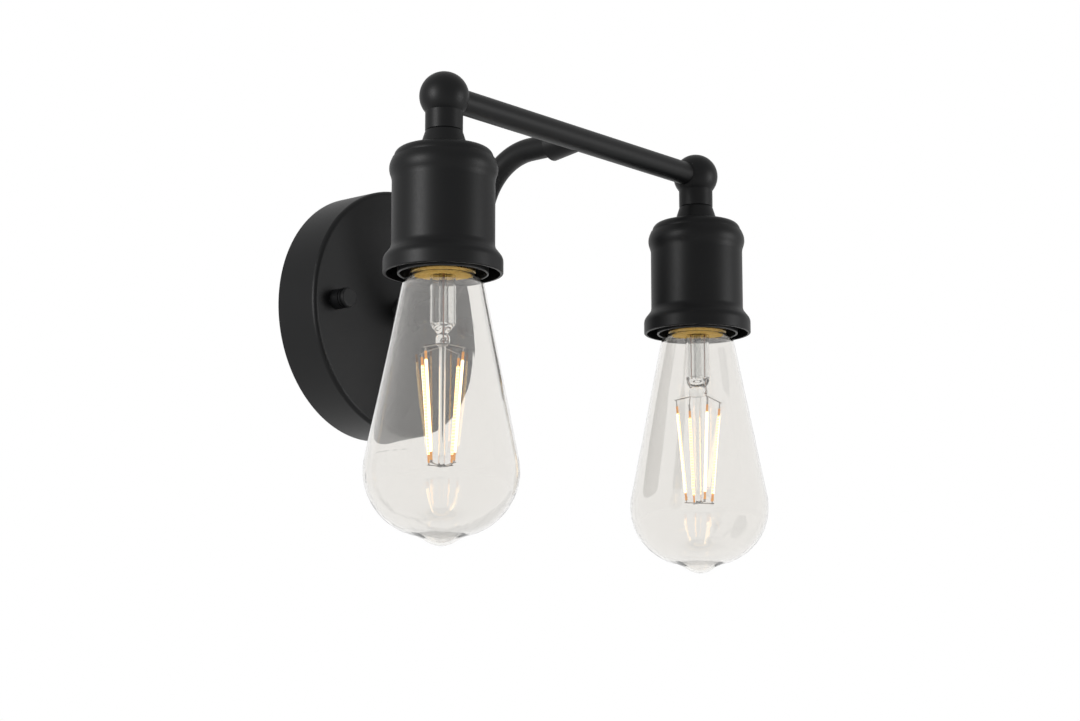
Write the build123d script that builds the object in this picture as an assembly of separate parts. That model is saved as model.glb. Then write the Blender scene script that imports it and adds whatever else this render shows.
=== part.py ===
"""Two-lamp vanity wall light: wall plate, bent arm, crossbar and two hanging cup lamps with bulbs.

Millimetres. The origin is the middle of the wall plate on the wall's plane, +X runs along the
crossbar, +Y goes into the wall and +Z is up.
"""

import math
import os

from build123d import *

# Wall plate, a shallow round pan
PLATE_DIAMETER = 117.0
PLATE_DEPTH = 23.75
PLATE_WALL = 1.2
PLATE_EDGE_RADIUS = 2.0

# Wall strap behind the plate, with its studs, lock nuts and earth screw
STRAP_WIDTH = 20.0
STRAP_THICKNESS = 2.0
STRAP_END_GAP = 4.0
STRAP_END_RADIUS = 4.0
STRAP_CENTRE_HOLE = 13.0
BOX_SCREW_SPACING = 69.85
BOX_SLOT_WIDTH = 4.8
BOX_SLOT_LENGTH = 9.0
STUD_SPACING = 88.9
STUD_DIAMETER = 4.1
STUD_GRIP = 6.4
STUD_NUT_FLATS = 8.7
STUD_NUT_THICKNESS = 3.2
EARTH_SCREW_OFFSET = 19.0
EARTH_SCREW_DIAMETER = 4.6
EARTH_HEAD_DIAMETER = 8.6
EARTH_HEAD_HEIGHT = 2.6

# Cap nuts on the plate's front
CAP_NUT_DIAMETER = 9.3
CAP_NUT_LENGTH = 8.6
CAP_NUT_END_RADIUS = 0.8
CAP_NUT_GROOVE_AT = 4.9
CAP_NUT_GROOVE_STEP = 1.5
CAP_NUT_GROOVE_WIDTH = 0.6
CAP_NUT_GROOVE_DEPTH = 0.35

# Arm: out of the plate, up at a slant, and forward to the crossbar
ARM_DIAMETER = 10.6
ARM_WALL = 1.0
ARM_FOOT = 12.7
ARM_BEND_RADIUS = 30.0
ARM_BEND_ANGLE = 70.0
ARM_NIPPLE_GRIP = 11.0
ARM_NIPPLE_BORE = 6.4
ARM_NIPPLE_TAIL = 3.2
ARM_NUT_FLATS = 14.0
ARM_NUT_THICKNESS = 4.0
ARM_WASHER_DIAMETER = 18.0
ARM_WASHER_THICKNESS = 0.8
FOOT_COLLAR_DIAMETER = 15.6
FOOT_COLLAR_TOP_DIAMETER = 12.6
FOOT_COLLAR_HEIGHT = 5.0
SADDLE_DIAMETER = 14.8
SADDLE_LENGTH = 14.9

# Crossbar and the lamps' places on it
LAMP_SPACING = 176.8
LAMP_REACH = 130.4
BAR_HEIGHT = 66.2
BAR_DIAMETER = 10.8
BAR_WALL = 1.0
BAR_SEAT_DEPTH = 4.0
BAR_WIRE_HOLE = 7.4

# Ball fitting and the threaded nipple below it
BALL_DIAMETER = 21.0
NECK_DIAMETER = 15.9
NECK_LENGTH = 15.2
NECK_SEAM_CHAMFER = 0.3
NIPPLE_DIAMETER = 9.8
NIPPLE_BORE = 6.6
NIPPLE_GRIP = 8.0

# Cup cap: flared neck, flat top and round shoulder
CUP_CAP_HEIGHT = 12.0
CUP_CAP_TOP = 4.2
CUP_CAP_DIAMETER = 41.8
CUP_CAP_NECK_BASE = 20.8
CUP_CAP_NECK_FILLET = 2.0
CUP_CAP_EDGE = 0.2
CUP_CAP_WALL = 1.5
CUP_CAP_BOSS = 17.0

# Cup: beaded top, straight wall, flared rim
CUP_HEIGHT = 49.0
CUP_WALL = 1.3
CUP_WEB = 1.2
CUP_TOP_DIAMETER = 43.0
CUP_DIAMETER = 43.2
BEAD_CORNER_DIAMETER = 46.5
BEAD_CORNER_DROP = 4.1
BEAD_DROP = 9.0
BEAD_RADIUS = 7.5
RIM_DIAMETER = 50.1
RIM_BAND = 6.6
RIM_FLARE = 4.35
RIM_FLARE_RADIUS = 4.4
RIM_EDGE_RADIUS = 0.6

# Lampholder in the cup
LOCK_NUT_FLATS = 14.0
LOCK_NUT_THICKNESS = 4.0
HOLDER_DIAMETER = 38.0
HOLDER_HUB_DIAMETER = 16.0
HOLDER_HUB_HEIGHT = 4.0
HOLDER_CAP_WALL = 2.0
HOLDER_CAP_EDGE = 2.0
TERMINAL_ROOM = 4.6
HOLDER_BLOCK = 3.5
HOLDER_SLEEVE_WALL = 1.0
HOLDER_LIP_RADIUS = 0.45
HOLDER_PROUD = 0.2
LEAF_ROOM_DIAMETER = 22.0
LEAF_DROP = 2.2
LEAF_WIDTH = 6.0
LEAF_THICKNESS = 0.5
LEAF_FOOT = 4.0
LEAF_TIP_RISE = 0.6
TERMINAL_SPREAD = 18.0
TERMINAL_HEAD_DIAMETER = 6.4
TERMINAL_HEAD_HEIGHT = 2.2
TERMINAL_SHANK_DIAMETER = 3.6
TERMINAL_SHANK_LENGTH = 2.6

# Screw thread shared by the lampholder's shell and the bulb's base
THREAD_PITCH = 25.4 / 7
THREAD_ROOT_DIAMETER = 24.7
THREAD_RIDGE = 0.95
THREAD_RIDGE_INSET = 0.15
THREAD_PLAY = 0.25
BASE_TURNS = 3.5
SHELL_TURNS = 3.0
SHELL_RIDGE = 0.75
SHELL_RIDGE_INSET = 0.05
SHELL_WALL = 0.5

# Bulb's screw base
BASE_HEIGHT = 27.0
BASE_WALL = 0.45
SKIRT_DIAMETER = 27.0
SKIRT_HEIGHT = 4.3
SKIRT_STEP = 1.2
THREAD_START = 1.6
BASE_TOP_DIAMETER = 19.0
BASE_SHOULDER_HEIGHT = 2.6
INSULATOR_HEIGHT = 3.2
INSULATOR_HOLE = 15.0
INSULATOR_TOP_DIAMETER = 10.8
INSULATOR_FLANGE = 1.2
TIP_DIAMETER = 9.4
TIP_HEIGHT = 0.8
TIP_ROUND = 0.7
TIP_SHANK_DIAMETER = 3.0
BOARD_HEIGHT = 9.0
BOARD_THICKNESS = 1.2
BOARD_CHIP = 4.5

# Bulb's glass envelope
BULB_DIAMETER = 64.2
BULB_LENGTH = 140.1
BULB_GLASS = 0.9
BULB_NECK_GRIP = 1.4
BULB_SHOULDER_DIAMETER = 33.8
BULB_SHOULDER_FALL = 2.6
BULB_SHOULDER_RADIUS = 6.0
BULB_SHOULDER_DROP = 0.3
BULB_BELLY_RADIUS = 26.9
BULB_BELLY_ABOVE_TIP = 30.6
BULB_TIP_RADIUS = 10.5
BULB_TIP_BLEND = 18.0
BULB_TIP_GLASS = 1.2
NECK_DISC_THICKNESS = 1.3

# Glass stem, support wires and filaments inside the bulb
STEM_DIAMETER = 11.0
STEM_WALL = 0.9
STEM_TUBE = 23.1
STEM_FLARE_RADIUS = 0.9
FUNNEL_BEND = 1.0
FUNNEL_BEND_THICKNESS = 9.4
FUNNEL_LENGTH = 4.3
FUNNEL_FLOOR = 3.6
FUNNEL_FLOOR_DIAMETER = 8.2
PINCH_WIDTH = 8.4
PINCH_THICKNESS = 3.8
PRESS_WIDTH = 8.8
PRESS_THICKNESS = 6.0
PRESS_LENGTH = 4.8
PRESS_ROUND = 2.0
EXHAUST_DIAMETER = 3.4
EXHAUST_WALL = 0.6
ROD_DIAMETER = 2.8
ROD_LENGTH = 50.0
SUPPORT_DIAMETER = 0.7
SUPPORT_SPREAD = 6.8
SUPPORT_DEPTH = 2.0
FILAMENT_DIAMETER = 1.5
FILAMENT_COUNT = 4
FILAMENT_TOP_DROP = 2.0
FILAMENT_TOP_RADIUS = 11.0
FILAMENT_LOW_RADIUS = 6.4
FILAMENT_END_RISE = 1.8
LEFT_BULB_TURN = 49.0
RIGHT_BULB_TURN = 104.0

# Wires from the lampholders to the plate
WIRE_DIAMETER = 1.8
WIRE_LANE = 1.05
WIRE_TERMINAL_BEND = 2.8
WIRE_BALL_BEND = 4.0
WIRE_BAR_BEND = 3.0
WIRE_PLATE_BEND = 5.0
WIRE_TURN_DEPTH = 8.0
WIRE_SPLIT_HEIGHT = 12.0
SPLICE_OFFSET = 14.0
SPLICE_MOUTH_HEIGHT = 28.0
SPLICE_LENGTH = 20.0
SPLICE_GRIP = 10.0
SPLICE_DIAMETER = 9.2
SPLICE_TOP_DIAMETER = 6.8

# Clearances
FIT = 0.05
TURNING_FIT = 0.08
LOOSE_FIT = 0.4
CONTACT_GAP = 0.1

# Radii
bar_r = BAR_DIAMETER / 2
bar_bore_r = bar_r - BAR_WALL
arm_r = ARM_DIAMETER / 2
arm_bore_r = arm_r - ARM_WALL
ball_r = BALL_DIAMETER / 2
nipple_r = NIPPLE_DIAMETER / 2
nipple_bore_r = NIPPLE_BORE / 2
stud_r = STUD_DIAMETER / 2
cup_r = CUP_DIAMETER / 2
rim_r = RIM_DIAMETER / 2
holder_r = HOLDER_DIAMETER / 2
root_r = THREAD_ROOT_DIAMETER / 2
crest_r = root_r - THREAD_RIDGE_INSET + THREAD_RIDGE
shell_r = crest_r + THREAD_PLAY
skirt_r = SKIRT_DIAMETER / 2
wire_r = WIRE_DIAMETER / 2

# Heights in a lamp, from the crossbar's axis down
neck_seam = -NECK_LENGTH
cup_top = neck_seam - CUP_CAP_HEIGHT
cup_rim = cup_top - CUP_HEIGHT
web_bottom = cup_top - CUP_WEB
holder_top = web_bottom - LOCK_NUT_THICKNESS
holder_plate = holder_top - HOLDER_HUB_HEIGHT
chamber_top = holder_plate - HOLDER_CAP_WALL
holder_seam = chamber_top - TERMINAL_ROOM
leaf_top = holder_seam - HOLDER_BLOCK
holder_bottom = cup_rim - HOLDER_PROUD

# Heights in a bulb, screwed home against the contact leaf
bulb_top = leaf_top - LEAF_DROP
skirt_bottom = bulb_top - BASE_HEIGHT
skirt_top = skirt_bottom + SKIRT_HEIGHT
root_bottom = skirt_top + SKIRT_STEP
base_top = bulb_top - INSULATOR_HEIGHT
insulator_low = base_top - BASE_WALL - TURNING_FIT - INSULATOR_FLANGE
shoulder_low = base_top - BASE_SHOULDER_HEIGHT
thread_low = root_bottom + THREAD_START
glass_tip = bulb_top - BULB_LENGTH
glass_shoulder = skirt_bottom - BULB_SHOULDER_DROP
belly_centre = Vector(BULB_DIAMETER / 2 - BULB_BELLY_RADIUS, glass_tip + BULB_BELLY_ABOVE_TIP)
neck_r = skirt_r - BASE_WALL - FIT
stem_top = skirt_bottom + BULB_NECK_GRIP
funnel_top = stem_top - STEM_TUBE
pinch = funnel_top - FUNNEL_LENGTH
press_bottom = pinch - PRESS_LENGTH
rod_bottom = press_bottom - ROD_LENGTH
filament_top = press_bottom - FILAMENT_TOP_DROP
filament_bottom = rod_bottom + FILAMENT_END_RISE

# Depths from the wall, outward
plate_inside = PLATE_DEPTH - PLATE_WALL
washer_back = plate_inside - ARM_WASHER_THICKNESS
arm_nut_back = washer_back - ARM_NUT_THICKNESS

# The arm's two bends, as corners at (depth from the wall, height)
arm_tangent = ARM_BEND_RADIUS * math.tan(math.radians(ARM_BEND_ANGLE) / 2)
low_corner = (PLATE_DEPTH + ARM_FOOT + arm_tangent, 0.0)
high_corner = (low_corner[0] + BAR_HEIGHT / math.tan(math.radians(ARM_BEND_ANGLE)), BAR_HEIGHT)

# Frames: out of the wall, along the crossbar, and at each lamp
OUT = Rot(90, 0, 0)
ALONG_X = Rot(0, 90, 0)
BAR_PLACE = Pos(0, -LAMP_REACH, BAR_HEIGHT)
LEFT = -1
RIGHT = 1
SIDES = {"left": LEFT, "right": RIGHT}
BULB_TURNS = {"left": LEFT_BULB_TURN, "right": RIGHT_BULB_TURN}


def lamp_place(side):
    return Pos(side * LAMP_SPACING / 2, -LAMP_REACH, BAR_HEIGHT)


def post(radius, low, high):
    """Upright cylinder on the Z axis between two heights."""
    return Pos(0, 0, (low + high) / 2) * Cylinder(radius, high - low)


def tube(radius, bore, low, high):
    return post(radius, low, high) - post(bore, low, high)


def hex_nut(flats, bore, low, high):
    blank = extrude(RegularPolygon(flats / 2, 6, major_radius=False), high - low)
    return Pos(0, 0, low) * blank - post(bore, low, high)


def turned(*outline):
    """Solid turned about Z from edges drawn at (radius, height)."""
    edges = [edge for line in outline for edge in line.edges()]
    return revolve(Plane.XZ * make_face(edges), Axis.Z)


def profile(points, radii):
    """Closed outline at (radius, height) with a rounding for each corner."""
    return FilletPolyline(*points, radius=radii, close=True)


def rod(start, end, radius):
    """Straight round rod between two points."""
    line = Line(start, end)
    return extrude(Plane(line @ 0, z_dir=line % 0) * Circle(radius), line.length)


def bent_rod(points, radii, radius):
    """Round rod along straight runs joined by arcs."""
    path = FilletPolyline(*points, radius=radii)
    return sweep(Plane(path @ 0, z_dir=path % 0) * Circle(radius), path=path)


def helical_ridge(path_radius, ridge, low, turns):
    """Right-hand thread ridge of round section that starts on +X."""
    path = Helix(THREAD_PITCH, THREAD_PITCH * turns, path_radius, center=(0, 0, low))
    return sweep(Plane(path @ 0, z_dir=path % 0) * Circle(ridge), path=path, is_frenet=True)


# Wall plate and what holds it to the wall


def back_plate():
    plate_r = PLATE_DIAMETER / 2
    inner_r = plate_r - PLATE_WALL
    pan = turned(
        profile(
            [
                (0, PLATE_DEPTH),
                (plate_r, PLATE_DEPTH),
                (plate_r, 0),
                (inner_r, 0),
                (inner_r, plate_inside),
                (0, plate_inside),
            ],
            [0, PLATE_EDGE_RADIUS, 0, 0, max(PLATE_EDGE_RADIUS - PLATE_WALL, 0), 0],
        )
    )
    pan -= post(arm_bore_r + LOOSE_FIT, 0, PLATE_DEPTH)
    for side in SIDES.values():
        pan -= Pos(side * STUD_SPACING / 2, 0, 0) * post(stud_r + LOOSE_FIT, 0, PLATE_DEPTH)
    return OUT * pan


def mounting_strap():
    reach = PLATE_DIAMETER / 2 - PLATE_WALL - STRAP_END_GAP
    length = 2 * math.sqrt(reach**2 - (STRAP_WIDTH / 2) ** 2)
    outline = RectangleRounded(length, STRAP_WIDTH, STRAP_END_RADIUS)
    outline -= Circle(STRAP_CENTRE_HOLE / 2)
    outline -= Pos(EARTH_SCREW_OFFSET, 0) * Circle(EARTH_SCREW_DIAMETER / 2 + FIT)
    for side in SIDES.values():
        outline -= Pos(side * BOX_SCREW_SPACING / 2, 0) * SlotOverall(BOX_SLOT_LENGTH, BOX_SLOT_WIDTH)
        outline -= Pos(side * STUD_SPACING / 2, 0) * Circle(stud_r + FIT)
    return OUT * extrude(outline, STRAP_THICKNESS)


def at_studs(piece):
    """One copy of a piece on each stud's axis."""
    return OUT * Compound([Pos(side * STUD_SPACING / 2, 0, 0) * piece for side in SIDES.values()])


def strap_studs():
    return at_studs(post(stud_r, 0, PLATE_DEPTH + STUD_GRIP))


def stud_nuts():
    top = STRAP_THICKNESS + STUD_NUT_THICKNESS
    return at_studs(hex_nut(STUD_NUT_FLATS, stud_r + FIT, STRAP_THICKNESS, top))


def earth_screw():
    screw = post(EARTH_SCREW_DIAMETER / 2, 0, STRAP_THICKNESS)
    screw += post(EARTH_HEAD_DIAMETER / 2, STRAP_THICKNESS, STRAP_THICKNESS + EARTH_HEAD_HEIGHT)
    return OUT * Pos(EARTH_SCREW_OFFSET, 0, 0) * screw


def cap_nut(side):
    nut_r = CAP_NUT_DIAMETER / 2
    top = PLATE_DEPTH + CAP_NUT_LENGTH
    first_groove = PLATE_DEPTH + CAP_NUT_GROOVE_AT
    nut = turned(
        profile(
            [(0, PLATE_DEPTH), (nut_r, PLATE_DEPTH), (nut_r, top), (0, top)],
            [0, 0, CAP_NUT_END_RADIUS, 0],
        )
    )
    for low in (first_groove, first_groove + CAP_NUT_GROOVE_STEP):
        nut -= tube(nut_r, nut_r - CAP_NUT_GROOVE_DEPTH, low, low + CAP_NUT_GROOVE_WIDTH)
    nut -= post(stud_r + TURNING_FIT, PLATE_DEPTH, PLATE_DEPTH + STUD_GRIP + CONTACT_GAP)
    return OUT * Pos(side * STUD_SPACING / 2, 0, 0) * nut


# Arm and crossbar


def arm_points(rise=0.0):
    """Corners of the arm's line, from the crossbar to the plate, shifted sideways in its plane."""
    half_turn = math.radians(ARM_BEND_ANGLE) / 2
    shift = rise * math.tan(half_turn)
    high = (high_corner[0] - shift, high_corner[1] + rise)
    low = (low_corner[0] - shift, low_corner[1] + rise)
    return [(0, -high[0], high[1]), (0, -low[0], low[1])]


def arm_rod(radius):
    points = [(0, -LAMP_REACH, BAR_HEIGHT), *arm_points(), (0, -PLATE_DEPTH, 0)]
    return bent_rod(points, ARM_BEND_RADIUS, radius)


def crossbar_solid(radius):
    """Cylinder on the crossbar's axis, longer than the bar."""
    return BAR_PLACE * ALONG_X * post(radius, -LAMP_SPACING / 2, LAMP_SPACING / 2)


def arm_tube():
    return arm_rod(arm_r) - arm_rod(arm_bore_r) - crossbar_solid(bar_r + FIT)


def arm_nipple():
    r = arm_bore_r - FIT
    low = arm_nut_back - ARM_NIPPLE_TAIL
    return OUT * tube(r, ARM_NIPPLE_BORE / 2, low, PLATE_DEPTH + ARM_NIPPLE_GRIP)


def arm_washer():
    return OUT * tube(ARM_WASHER_DIAMETER / 2, arm_bore_r, washer_back, plate_inside)


def arm_nut():
    return OUT * hex_nut(ARM_NUT_FLATS, arm_bore_r, arm_nut_back, washer_back)


def arm_foot_collar():
    low = PLATE_DEPTH
    high = PLATE_DEPTH + FOOT_COLLAR_HEIGHT
    bore_r = arm_r + FIT
    outer = FOOT_COLLAR_DIAMETER / 2
    top = FOOT_COLLAR_TOP_DIAMETER / 2
    return OUT * turned(Polyline((bore_r, low), (outer, low), (top, high), (bore_r, high), close=True))


def arm_saddle():
    """Tapered collar on the arm's end, coped to the crossbar."""
    back = LAMP_REACH - SADDLE_LENGTH
    bore_r = arm_r + FIT
    outer = SADDLE_DIAMETER / 2
    cone = turned(
        Polyline((bore_r, back), (outer, back), (bar_r, LAMP_REACH), (bore_r, LAMP_REACH), close=True)
    )
    return Pos(0, 0, BAR_HEIGHT) * OUT * cone - crossbar_solid(bar_r + FIT)


def crossbar():
    half = LAMP_SPACING / 2 - ball_r + BAR_SEAT_DEPTH
    bar = BAR_PLACE * ALONG_X * tube(bar_r, bar_bore_r, -half, half)
    wire_hole = Pos(0, 0, BAR_HEIGHT) * OUT * post(BAR_WIRE_HOLE / 2, 0, LAMP_REACH)
    return bar - wire_hole


# Lamp pieces, drawn under the crossbar's axis, with the bar coming in from +X


def ball_fitting():
    bar_end = ball_r - BAR_SEAT_DEPTH
    neck = NECK_DIAMETER / 2
    seam = [(neck, neck_seam + NECK_SEAM_CHAMFER), (neck - NECK_SEAM_CHAMFER, neck_seam)]
    fitting = Sphere(ball_r) + turned(Polyline((0, 0), (neck, 0), *seam, (0, neck_seam), close=True))
    fitting -= ALONG_X * post(bar_r + FIT, bar_end, LAMP_SPACING / 2)
    fitting -= ALONG_X * post(bar_bore_r, 0, bar_end)
    fitting -= Sphere(bar_bore_r)
    fitting -= post(nipple_r + FIT, neck_seam, neck_seam + NIPPLE_GRIP)
    fitting -= post(nipple_bore_r, neck_seam, 0)
    return fitting


def lamp_nipple():
    return tube(nipple_r, nipple_bore_r, chamber_top, neck_seam + NIPPLE_GRIP - CONTACT_GAP)


def cup_cap():
    outer_r = CUP_CAP_DIAMETER / 2
    inner_r = outer_r - CUP_CAP_WALL
    neck = NECK_DIAMETER / 2
    top = cup_top + CUP_CAP_TOP
    shoulder = CUP_CAP_TOP - CUP_CAP_EDGE
    cap = turned(
        profile(
            [
                (nipple_r + FIT, neck_seam),
                (neck - NECK_SEAM_CHAMFER, neck_seam),
                (neck, neck_seam - NECK_SEAM_CHAMFER),
                (CUP_CAP_NECK_BASE / 2, top),
                (outer_r, top),
                (outer_r, cup_top),
                (inner_r, cup_top),
                (inner_r, top - CUP_CAP_WALL),
                (CUP_CAP_BOSS / 2, top - CUP_CAP_WALL),
                (CUP_CAP_BOSS / 2, cup_top),
                (nipple_r + FIT, cup_top),
            ],
            [0, 0, 0, CUP_CAP_NECK_FILLET, shoulder, 0, 0, shoulder - CUP_CAP_WALL, 0, 0, 0],
        )
    )
    return cap


def cup():
    inner_r = cup_r - CUP_WALL
    band_top = cup_rim + RIM_BAND
    flare_top = band_top + RIM_FLARE
    return turned(
        profile(
            [
                (nipple_r + FIT, cup_top),
                (CUP_TOP_DIAMETER / 2, cup_top),
                (BEAD_CORNER_DIAMETER / 2, cup_top - BEAD_CORNER_DROP),
                (cup_r, cup_top - BEAD_DROP),
                (cup_r, flare_top),
                (rim_r, band_top),
                (rim_r, cup_rim),
                (rim_r - CUP_WALL, cup_rim),
                (rim_r - CUP_WALL, band_top),
                (inner_r, flare_top),
                (inner_r, web_bottom),
                (nipple_r + FIT, web_bottom),
            ],
            [
                0,
                0,
                BEAD_RADIUS,
                BEAD_RADIUS,
                RIM_FLARE_RADIUS,
                RIM_FLARE_RADIUS,
                RIM_EDGE_RADIUS,
                0,
                RIM_FLARE_RADIUS - CUP_WALL,
                RIM_FLARE_RADIUS,
                0,
                0,
            ],
        )
    )


def holder_nut():
    return hex_nut(LOCK_NUT_FLATS, nipple_r + FIT, holder_top, web_bottom)


def holder_cap():
    inner_r = holder_r - HOLDER_CAP_WALL
    hub_r = HOLDER_HUB_DIAMETER / 2
    bore_r = nipple_r + FIT
    return turned(
        profile(
            [
                (bore_r, holder_top),
                (hub_r, holder_top),
                (hub_r, holder_plate),
                (holder_r, holder_plate),
                (holder_r, holder_seam),
                (inner_r, holder_seam),
                (inner_r, chamber_top),
                (bore_r, chamber_top),
            ],
            [0, 0, 0, HOLDER_CAP_EDGE, 0, 0, 0, 0],
        )
    )


def at_terminals(piece):
    """One copy of a piece on each terminal's axis."""
    return [Pos(side * TERMINAL_SPREAD / 2, 0, 0) * piece for side in SIDES.values()]


def holder_body():
    seat_r = shell_r + SHELL_WALL + FIT
    sleeve_r = holder_r - HOLDER_SLEEVE_WALL
    body = turned(
        profile(
            [
                (0, holder_seam),
                (holder_r, holder_seam),
                (holder_r, holder_bottom),
                (sleeve_r, holder_bottom),
                (sleeve_r, skirt_top),
                (seat_r, skirt_top),
                (seat_r, base_top),
                (LEAF_ROOM_DIAMETER / 2, base_top),
                (LEAF_ROOM_DIAMETER / 2, leaf_top),
                (0, leaf_top),
            ],
            [0, 0, HOLDER_LIP_RADIUS, HOLDER_LIP_RADIUS, 0, 0, 0, 0, 0, 0],
        )
    )
    shank_hole = post(TERMINAL_SHANK_DIAMETER / 2 + FIT, holder_seam - TERMINAL_SHANK_LENGTH, holder_seam)
    for hole in at_terminals(shank_hole):
        body -= hole
    return body


def terminal_screws():
    screw = post(TERMINAL_SHANK_DIAMETER / 2, holder_seam - TERMINAL_SHANK_LENGTH, holder_seam)
    screw += post(TERMINAL_HEAD_DIAMETER / 2, holder_seam, holder_seam + TERMINAL_HEAD_HEIGHT)
    return Compound(at_terminals(screw))


def screw_shell():
    low = root_bottom
    high = base_top - CONTACT_GAP
    ridge_path = shell_r - SHELL_RIDGE_INSET
    ridge = helical_ridge(ridge_path, SHELL_RIDGE, thread_low + THREAD_PITCH / 2, SHELL_TURNS)
    ridge &= post(shell_r + SHELL_WALL / 2, low, high)
    return tube(shell_r + SHELL_WALL, shell_r, low, high) + ridge


def contact_leaf():
    """Springy strip that presses on the bulb's tip."""
    half = LEAF_THICKNESS / 2
    foot = leaf_top - half
    touch = bulb_top + CONTACT_GAP + half
    root_x = LEAF_ROOM_DIAMETER / 2 - LEAF_FOOT / 2
    line = Polyline(
        (-root_x, foot),
        (LEAF_FOOT - root_x, foot),
        (0, touch),
        (LEAF_FOOT, touch + LEAF_TIP_RISE),
    )
    strip = Plane.XZ * trace(line, LEAF_THICKNESS)
    return extrude(strip, LEAF_WIDTH / 2, both=True)


# Bulb pieces, drawn in the lamp's own place


def bulb_base():
    inner_root = root_r - BASE_WALL
    inner_skirt = skirt_r - BASE_WALL
    top_r = BASE_TOP_DIAMETER / 2
    hole_r = INSULATOR_HOLE / 2
    blank = turned(
        Polyline(
            (0, base_top),
            (top_r, base_top),
            (root_r, shoulder_low),
            (root_r, root_bottom),
            (skirt_r, skirt_top),
            (skirt_r, skirt_bottom),
            (0, skirt_bottom),
            close=True,
        )
    )
    ridge_path = root_r - THREAD_RIDGE_INSET
    blank += helical_ridge(ridge_path, THREAD_RIDGE, thread_low, BASE_TURNS)
    hollow = turned(
        Polyline(
            (0, base_top - BASE_WALL),
            (top_r - BASE_WALL, base_top - BASE_WALL),
            (inner_root, shoulder_low - BASE_WALL),
            (inner_root, root_bottom),
            (inner_skirt, skirt_top),
            (inner_skirt, skirt_bottom),
            (0, skirt_bottom),
            close=True,
        )
    )
    return blank - hollow - post(hole_r, base_top - BASE_WALL, base_top)


def bulb_insulator():
    """Plug of dark glass in the base's top, flanged below it."""
    plug_r = INSULATOR_HOLE / 2 - TURNING_FIT
    flange_top = insulator_low + INSULATOR_FLANGE
    flange_r = plug_r + INSULATOR_FLANGE
    top = bulb_top - TIP_HEIGHT
    seat = base_top + TURNING_FIT
    shank_r = TIP_SHANK_DIAMETER / 2 + FIT
    return turned(
        Polyline(
            (shank_r, insulator_low),
            (flange_r, insulator_low),
            (flange_r, flange_top),
            (plug_r, flange_top),
            (plug_r, seat),
            (flange_r, seat),
            (INSULATOR_TOP_DIAMETER / 2, top),
            (shank_r, top),
            close=True,
        )
    )


def bulb_tip():
    """Contact button with a shank down through the insulator."""
    low = bulb_top - TIP_HEIGHT
    edge_r = TIP_DIAMETER / 2
    shank_r = TIP_SHANK_DIAMETER / 2
    return turned(
        profile(
            [
                (0, insulator_low),
                (shank_r, insulator_low),
                (shank_r, low),
                (edge_r, low),
                (edge_r, bulb_top),
                (0, bulb_top),
            ],
            [0, 0, 0, 0, TIP_ROUND, 0],
        )
    )


def bulb_driver():
    """Board across the base's hollow, with a chip on each face."""
    width = 2 * (root_r - BASE_WALL - FIT)
    low = root_bottom
    board = Box(width, BOARD_THICKNESS, BOARD_HEIGHT)
    board += Box(BOARD_CHIP, BOARD_CHIP, BOARD_CHIP)
    fit = post(width / 2, low, low + BOARD_HEIGHT)
    return Pos(0, 0, low + BOARD_HEIGHT / 2) * board & fit


def bulb_neck_disc():
    """Gilt disc round the stem, under its flare, that hides the inside of the base."""
    top = stem_top - STEM_WALL - FIT
    return tube(neck_r - BULB_GLASS - FIT, STEM_DIAMETER / 2 + FIT, top - NECK_DISC_THICKNESS, top)


def heading(start, end):
    """Angle in degrees of the way from one point of an outline to another."""
    return math.degrees(math.atan2(end.Y - start.Y, end.X - start.X))


def envelope_outline(inset, dome_r, low):
    """Edges of the envelope's outline moved in by inset, from the neck down to the tip's dome."""
    belly_r = BULB_BELLY_RADIUS - inset
    blend_r = BULB_TIP_BLEND + inset
    shoulder_r = BULB_SHOULDER_DIAMETER / 2
    fall = math.atan2(BULB_SHOULDER_FALL, shoulder_r - neck_r)
    neck = Vector(neck_r - inset, glass_shoulder - inset * math.tan(math.pi / 4 - fall / 2))
    corner = neck + Vector(shoulder_r - neck_r, -BULB_SHOULDER_FALL)
    reach = belly_centre - corner
    tilt = math.asin(belly_r / reach.length) + math.atan2(reach.X, -reach.Y)
    cone_end = belly_centre + Vector(math.cos(tilt), math.sin(tilt)) * belly_r
    roundings = [0, BULB_SHOULDER_RADIUS - inset]
    side = FilletPolyline((neck.X, stem_top), neck, corner, cone_end, radius=roundings)

    dome_centre = Vector(0, low + dome_r)
    up = belly_centre - dome_centre
    to_dome = dome_r + blend_r
    to_belly = belly_r + blend_r
    along = (up.length**2 + to_dome**2 - to_belly**2) / (2 * up.length)
    aside = math.sqrt(to_dome**2 - along**2)
    way = up.normalized()
    blend_centre = dome_centre + way * along + Vector(way.Y, -way.X) * aside
    belly_start = math.degrees(tilt)
    belly_end = heading(belly_centre, blend_centre)
    blend_start = heading(blend_centre, belly_centre)
    blend_end = heading(blend_centre, dome_centre)
    dome_start = heading(dome_centre, blend_centre)
    belly = CenterArc(belly_centre, belly_r, belly_start, belly_end - belly_start)
    blend = CenterArc(blend_centre, blend_r, blend_start, blend_end - blend_start)
    dome = CenterArc(dome_centre, dome_r, dome_start, -90 - dome_start)
    return [side, belly, blend, dome]


def bulb_glass():
    """Blown envelope with a thicker sealed tip."""
    inside_low = glass_tip + BULB_TIP_GLASS
    outside = envelope_outline(0, BULB_TIP_RADIUS, glass_tip)
    inside = envelope_outline(BULB_GLASS, BULB_TIP_RADIUS - BULB_TIP_GLASS, inside_low)
    neck_edge = Line(inside[0] @ 0, outside[0] @ 0)
    tip_edge = Line((0, glass_tip), (0, inside_low))
    return turned(*outside, tip_edge, *inside, neck_edge)


def filament_point(index, radius, height):
    """Point on a filament's line, the filaments standing evenly about the bulb's axis."""
    angle = math.radians(360 / FILAMENT_COUNT * (index + 0.5))
    return Vector(radius * math.cos(angle), radius * math.sin(angle), height)


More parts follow.
